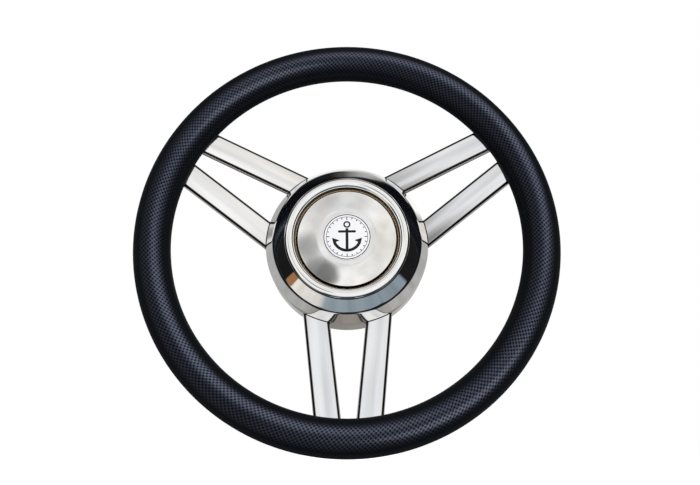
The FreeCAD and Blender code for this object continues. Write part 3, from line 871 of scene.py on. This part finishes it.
def buffed_finish(name, ring_scale, ring_depth, low, high, wave_depth, colour, smoke, soot_from=None):
    # Low and high are the roughness of the cleanest and of the cloudiest places.
    tree, shader = new_finish(name)
    place = object_place(tree)
    polar = polar_place(tree, RING_LENGTH / ring_scale)
    rings = noise(tree, polar, ring_scale, detail=3.0)
    clouds = noise(tree, place, scale=55.0, detail=3.0)
    waves = relief(tree, noise(tree, place, scale=42.0, detail=1.5), wave_depth)
    stain = smooth_share(tree, noise(tree, place, scale=34.0, detail=3.0), 0.38, 0.62)
    metal = mixed(tree, stain, smoke, colour)
    # Painted shade: from this radius outwards, the skirt goes black.
    if soot_from is not None:
        radius = add(tree, "ShaderNodeSeparateXYZ", {0: polar}).outputs["X"]
        sooty = smooth_share(tree, radius, soot_from, soot_from + SOOT_BLUR)
        metal = mixed(tree, sooty, metal, SOOT)
    set_shader(tree, shader, Base_Color=metal, Metallic=1.0,
               Roughness=between(tree, clouds, low, high),
               Normal=relief(tree, rings, ring_depth, waves))


buffed_finish("cap_buff", ring_scale=2600.0, ring_depth=0.003 * MM, low=0.05, high=0.15,
              wave_depth=0.16 * MM, colour=STEEL_COLOUR, smoke=CAP_SMOKE,
              soot_from=cap_high.x - SOOT_REACH)
dress(cap, "cap_buff")

# %% [markdown]
# ## The woven skin of the grip
#
# The skin shows a plain weave: bundles of fibre that go over and under each other, a little less than
# two millimetres wide, in two tones of navy black. The product of two sine waves is positive on every
# other square of a chequer and negative on the rest, and a soft step between the two gives rounded
# bundles. The same product, without its sign, is the bulge of a bundle. Over it lies a smooth clear
# coat. Where the tube turns away from the view, the colour fades to near black: painted shade on the
# tube's sides. A breath of sheen stands for the haze on the coat, so that the black stays soft.

# %% Make the woven skin
CELLS_ROUND_RING = 560
CELLS_ROUND_TUBE = 56
WEAVE_SLANT = 0.2
OVER_LIGHT_LOW = (0.016, 0.018, 0.026, 1.0)
OVER_LIGHT_HIGH = (0.021, 0.024, 0.033, 1.0)
UNDER_DARK = (0.0015, 0.0018, 0.004, 1.0)
BLACK = (0.0, 0.0, 0.0, 1.0)
GAP_DARKENS = 0.45
# Painted shade: the near-black that the colour fades to on the tube's sides.
COAT_FADE = (0.005, 0.0053, 0.0068, 1.0)
WEAVE_EDGES = (-0.36, -0.02)
GAP_EDGES = (0.15, 0.7)
FADE_EDGES = (0.10, 0.42)
BUNDLE_ROUND = 0.35
BUNDLE_DEPTH = 0.02 * MM


def woven_skin(name):
    tree, shader = new_finish(name)
    split = add(tree, "ShaderNodeSeparateXYZ", {0: map_place(tree, "weave")})
    ring = maths(tree, "MULTIPLY", split.outputs["X"], CELLS_ROUND_RING * math.pi)
    tube = maths(tree, "MULTIPLY", split.outputs["Y"], CELLS_ROUND_TUBE * math.pi)
    ring = maths(tree, "ADD", ring, maths(tree, "MULTIPLY", tube, WEAVE_SLANT))
    weave = maths(tree, "MULTIPLY", maths(tree, "SINE", ring), maths(tree, "SINE", tube))
    over = smooth_share(tree, weave, *WEAVE_EDGES)
    bulge = maths(tree, "POWER", maths(tree, "ABSOLUTE", weave), BUNDLE_ROUND)
    patches = noise(tree, object_place(tree), scale=26.0, detail=2.0)
    light = mixed(tree, patches, OVER_LIGHT_LOW, OVER_LIGHT_HIGH)
    tone = mixed(tree, over, UNDER_DARK, light)
    gap = mixed(tree, GAP_DARKENS, tone, BLACK)
    bundles = mixed(tree, smooth_share(tree, bulge, *GAP_EDGES), gap, tone)
    # Painted shade: the colour darkens as the surface turns away from the view.
    away = add(tree, "ShaderNodeLayerWeight", {"Blend": 0.5}).outputs["Facing"]
    seen = mixed(tree, smooth_share(tree, away, *FADE_EDGES), bundles, COAT_FADE)
    set_shader(tree, shader, Base_Color=seen, Metallic=1.0, Specular_Tint=(0.05, 0.05, 0.065, 1.0),
               Roughness=0.42, Normal=relief(tree, bulge, BUNDLE_DEPTH),
               Coat_Weight=0.05, Coat_Roughness=0.08, Coat_IOR=1.3,
               Sheen_Weight=0.02, Sheen_Roughness=0.6, Sheen_Tint=(0.75, 0.85, 1.0, 1.0))


woven_skin("woven_skin")
dress(grip, "woven_skin")

# %% [markdown]
# ## Rubber, resin and ink
#
# Three small finishes: the seal's tan elastomer, dull with a soft shine, the badge's white under its
# clear resin, and the black ink of the print. The resin is a coat with a sharp reflection over a
# white that is slightly cooler in places, as thick resin is.

# %% Make the seal, badge and print finishes
SPECKLE_DEPTH = 0.02 * MM


def seal_elastomer(name):
    tree, shader = new_finish(name)
    speckle = noise(tree, object_place(tree), scale=900.0, detail=3.0)
    colour = mixed(tree, speckle, (0.46, 0.31, 0.18, 1.0), (0.60, 0.43, 0.27, 1.0))
    set_shader(tree, shader, Base_Color=colour, Roughness=0.5,
               Normal=relief(tree, speckle, SPECKLE_DEPTH))


def badge_resin(name):
    tree, shader = new_finish(name)
    cloud = noise(tree, object_place(tree), scale=30.0, detail=1.0)
    colour = mixed(tree, cloud, (0.86, 0.87, 0.92, 1.0), (0.93, 0.93, 0.95, 1.0))
    set_shader(tree, shader, Base_Color=colour, Roughness=0.35, Coat_Weight=1.0, Coat_Roughness=0.03,
               Coat_IOR=1.5)


def badge_ink(name):
    tree, shader = new_finish(name)
    grain = noise(tree, object_place(tree), scale=1500.0, detail=2.0)
    colour = mixed(tree, grain, (0.006, 0.006, 0.008, 1.0), (0.016, 0.016, 0.02, 1.0))
    set_shader(tree, shader, Base_Color=colour, Roughness=0.4, Specular_IOR_Level=0.15)


seal_elastomer("seal_elastomer")
badge_resin("badge_resin")
badge_ink("badge_ink")
dress(seal, "seal_elastomer")
dress(badge, "badge_resin")
dress(badge_print, "badge_ink")

# %% [markdown]
# ## Plain metal and foam at the back
#
# The back plate and the boss are never polished. The plate is pickled sheet, matt and faintly
# cloudy, and the boss comes off the lathe with fine rings. These pieces keep the frame's own meshes
# and only get better finishes, as do the ring inside the grip, the cap's clips and the badge's foam.

# %% Make the plain finishes
PICKLED_DEPTH = 0.006 * MM
FOAM_CELL_DEPTH = 0.05 * MM


def pickled_steel(name, low, high):
    tree, shader = new_finish(name)
    place = object_place(tree)
    clouds = noise(tree, place, scale=40.0, detail=5.0)
    grain = noise(tree, place, scale=2400.0, detail=2.0)
    colour = mixed(tree, clouds, (0.42, 0.42, 0.41, 1.0), (0.56, 0.56, 0.55, 1.0))
    set_shader(tree, shader, Base_Color=colour, Metallic=1.0,
               Roughness=between(tree, grain, low, high),
               Normal=relief(tree, grain, PICKLED_DEPTH))


def foam_pad(name):
    tree, shader = new_finish(name)
    cells = noise(tree, object_place(tree), scale=1800.0, detail=2.0)
    colour = mixed(tree, cells, (0.015, 0.015, 0.016, 1.0), (0.05, 0.05, 0.05, 1.0))
    set_shader(tree, shader, Base_Color=colour, Roughness=0.85,
               Normal=relief(tree, cells, FOAM_CELL_DEPTH))


pickled_steel("pickled_steel", low=0.34, high=0.5)
pickled_steel("spring_strip", low=0.2, high=0.34)
buffed_finish("turned_steel", ring_scale=1900.0, ring_depth=0.02 * MM, low=0.2, high=0.3,
              wave_depth=0.02 * MM, colour=(0.6, 0.6, 0.59, 1.0), smoke=(0.52, 0.52, 0.5, 1.0))
foam_pad("foam_pad")

# %% [markdown]
# A frame piece that stays in view keeps its mesh and only swaps what fills its material slots. One
# short table says which piece gets which finish.

# %% Dress the frame's own pieces
KEPT_PIECES = {
    "rim_core": "pickled_steel",
    "hub_back_plate": "pickled_steel",
    "shaft_boss": "turned_steel",
    "cap_clip_1": "spring_strip",
    "cap_clip_2": "spring_strip",
    "cap_clip_3": "spring_strip",
    "badge_pad": "foam_pad",
}
for node, finish in KEPT_PIECES.items():
    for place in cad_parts[node].material_slots:
        place.material = bpy.data.materials[finish]
    print("%s: %s" % (node, finish))

# %% [markdown]
# ## Hand the pieces over
#
# Each new piece says which piece of the frame it stands for, and that it moves with the wheel. The
# wheel has no joints of its own, so everything rides on one body.

# %% Say what each piece stands for
def hand_over(piece, slot, *nodes):
    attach(piece, "root")
    if nodes:
        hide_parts(*nodes)
    print("%s stands for %s" % (piece.name, ", ".join(nodes) or "no piece of the frame"))


hand_over(hub_shell, "polished_steel", "hub_shell")
for name, bar in bars.items():
    hand_over(bar, "polished_steel", "spoke_bar_%s" % name)
hand_over(cap, "cap_steel", "centre_cap")
hand_over(seal, "seal_rubber", "cap_seal")
hand_over(badge, "badge_enamel", "badge")
hand_over(badge_print, "badge_enamel")
hand_over(grip, "grip_skin", "grip")

# %% [markdown]
# ## The studio
#
# A mirror shows what stands round it, so lighting polished steel means building a room for it to
# reflect. Here that room is the sky: soft panels of light and grey, each a cone of directions with a
# blurred rim, painted on a dim base. No real room is perfectly even, so a slow noise over the
# directions makes every panel a little lighter here and darker there. The camera itself sees plain
# white, and the floor under the wheel is pale and even.

# %% Build the room of soft panels
ROOM_BASE = (0.012, 0.012, 0.013, 1.0)
ROOM_CLOUDS = 7.0
CLOUD_DARKEST = 0.87
CLOUD_LIGHTEST = 1.09
WHITE = (1.0, 1.0, 1.0, 1.0)
PANELS = (
    # Clock angle, lean away from the front, full within, gone beyond, colour
    (0, 180, 61, 70, (0.48, 0.48, 0.47, 1.0)),
    (225, 132, 21, 31, (0.44, 0.44, 0.43, 1.0)),
    (315, 132, 21, 31, (0.47, 0.46, 0.45, 1.0)),
    (268, 140, 32, 42, (0.29, 0.27, 0.24, 1.0)),
    (55, 142, 8, 18, (1.1, 1.09, 1.08, 1.0)),
    (100, 150, 8, 16, (1.0, 1.0, 1.0, 1.0)),
    (75, 110, 12, 22, (0.5, 0.5, 0.49, 1.0)),
    (90, 76, 10, 22, (0.7, 0.67, 0.65, 1.0)),
    (256, 61, 14, 17, (0.29, 0.35, 0.395, 1.0)),
    (285, 48, 24, 27, (0.29, 0.35, 0.395, 1.0)),
    (322, 65, 13, 17, (0.27, 0.33, 0.375, 1.0)),
    (222, 68, 13, 23, (0.86, 0.84, 0.78, 1.0)),
    (203, 70, 3.5, 4.5, (0.36, 0.17, 0.07, 1.0)),
    (90, 8, 62, 68, (1.05, 1.045, 1.03, 1.0)),
    (105, 45, 8, 26, (0.8, 0.79, 0.78, 1.0)),
    (90, 29, 6, 14, (0.92, 0.93, 0.955, 1.0)),
    (34, 32, 9, 17, (1.03, 1.0, 0.95, 1.0)),
    (142, 12, 7, 14, (0.93, 0.935, 0.955, 1.0)),
    (153, 26, 3, 11, (0.46, 0.46, 0.46, 1.0)),
    (196, 17, 6, 13, (0.34, 0.34, 0.335, 1.0)),
    (205, 13, 4.5, 8, (0.24, 0.24, 0.235, 1.0)),
)


def panel_direction(clock, lean):
    # The clock angle turns from the right over the top, and the lean starts at the front.
    clock = math.radians(clock)
    lean = math.radians(lean)
    sideways = math.sin(lean)
    return Vector((sideways * math.cos(clock), -math.cos(lean), sideways * math.sin(clock)))


def build_room():
    room = bpy.data.worlds.new("room")
    bpy.context.scene.world = room
    room.use_nodes = True
    tree = room.node_tree
    look = add(tree, "ShaderNodeTexCoord", {}).outputs["Generated"]
    colour = ROOM_BASE
    for clock, lean, full, gone, panel in PANELS:
        facing = add(tree, "ShaderNodeVectorMath", {0: look, 1: panel_direction(clock, lean)},
                     operation="DOT_PRODUCT").outputs["Value"]
        blurred_rim = (math.cos(math.radians(gone)), math.cos(math.radians(full)))
        colour = mixed(tree, smooth_share(tree, facing, *blurred_rim), colour, panel)
    cloud = smooth_share(tree, noise(tree, look, ROOM_CLOUDS, detail=4.0), 0.3, 0.7)
    strength = between(tree, cloud, CLOUD_DARKEST, CLOUD_LIGHTEST)
    colour = add(tree, "ShaderNodeVectorMath", {0: colour, "Scale": strength},
                 operation="SCALE").outputs[0]
    seen = add(tree, "ShaderNodeLightPath", {}).outputs["Is Camera Ray"]
    colour = mixed(tree, seen, colour, WHITE)
    feed(tree, tree.nodes["Background"].inputs["Color"], colour)
    print("soft panels in the room:", len(PANELS))


build_room()

# %% [markdown]
# The grip is dark and soft, so the panels alone would light it evenly and hide its roundness. A
# broad lamp from above and a narrower one from low on the right shape it. Both are linked to the grip
# only, because the steel already mirrors the panels, and a lamp on it would burn a white spot into
# the cap.

# %% Light the grip
GRIP_LAMPS = {
    # Clock angle, lean away from the front, width, power
    "grip_lamp_high": (64, 41, 48, 4.1),
    "grip_lamp_low": (322, 27, 34, 5.0),
}


def light_the_grip():
    lit = bpy.data.collections.new("lit_by_grip_lamps")
    lit.objects.link(grip)
    for name, (clock, lean, width, power) in GRIP_LAMPS.items():
        lamp = bpy.data.lights.new(name, "SUN")
        lamp.energy = power
        lamp.angle = math.radians(width)
        stand = bpy.data.objects.new(name, lamp)
        stand.rotation_mode = "QUATERNION"
        stand.rotation_quaternion = panel_direction(clock, lean).to_track_quat("Z", "Y")
        stand.light_linking.receiver_collection = lit
        bpy.context.scene.collection.objects.link(stand)


light_the_grip()

# %% [markdown]
# The floor is one large pale disc. It glows by itself, so that it meets the white behind it without
# a line, and it is left out of reflections, where the room's panels do the work.

# %% Lay the floor
FLOOR_DROP = 0.28
FLOOR_RADIUS = 12.0
FLOOR_STEPS = 96
FLOOR_GLOW = 0.85


def lay_floor():
    level = frame_box[0][2] - FLOOR_DROP
    bm = bmesh.new()
    rim = points_round((0.0, 0.0), FLOOR_RADIUS, even_turns(0.0, math.tau, FLOOR_STEPS)[:-1])
    bm.faces.new([bm.verts.new((across, along, level)) for across, along in rim])
    floor = finished_piece("floor", bm)
    tree, shader = new_finish("pale_floor")
    grain = noise(tree, object_place(tree), scale=3.0, detail=2.0)
    colour = mixed(tree, grain, (0.86, 0.86, 0.85, 1.0), (0.9, 0.9, 0.89, 1.0))
    set_shader(tree, shader, Base_Color=colour, Roughness=0.9, Emission_Color=WHITE,
               Emission_Strength=FLOOR_GLOW)
    dress(floor, "pale_floor")
    floor.visible_glossy = False
    print("floor level, mm: %.0f" % (level / MM))


lay_floor()

# %% [markdown]
# ## The camera
#
# The camera stands a little below the wheel's axis and looks up at it from about half a metre away,
# which is close: the far side of the rim looks clearly smaller than the near side. Its place is
# written as a turn and a tilt round the middle of the rim, then a small correction of its aim and a
# slight roll, as a photographer would set them.

# %% Set up the camera
CAMERA_TURN = math.radians(-0.04)
CAMERA_TILT = math.radians(-16.68)
CAMERA_DISTANCE = 0.5546
AIM_RIGHT = 0.0044
AIM_UP = -0.0088
CAMERA_ROLL = math.radians(-0.54)
LENS_MM = 34.61
SENSOR_MM = 36.0


def set_up_camera():
    middle = Vector((0.0, RING_Y, 0.0))
    level = math.cos(CAMERA_TILT)
    away = Vector((math.sin(CAMERA_TURN) * level, -math.cos(CAMERA_TURN) * level,
                   math.sin(CAMERA_TILT)))
    place = middle + away * CAMERA_DISTANCE
    forward = (middle - place).normalized()
    right = forward.cross(Vector((0.0, 0.0, 1.0))).normalized()
    up = right.cross(forward)
    forward = (forward + right * AIM_RIGHT + up * AIM_UP).normalized()
    right = forward.cross(up).normalized()
    up = right.cross(forward)
    turn = Matrix((right, up, -forward)).transposed().to_4x4() @ Matrix.Rotation(CAMERA_ROLL, 4, "Z")
    lens = bpy.data.cameras.new("camera")
    lens.lens = LENS_MM
    lens.sensor_width = SENSOR_MM
    camera = bpy.data.objects.new("camera", lens)
    camera.matrix_world = Matrix.Translation(place) @ turn
    bpy.context.scene.collection.objects.link(camera)
    bpy.context.scene.camera = camera
    bpy.context.scene.view_settings.view_transform = "Standard"
    print("camera at, mm:", [round(value / MM, 1) for value in place])


set_up_camera()
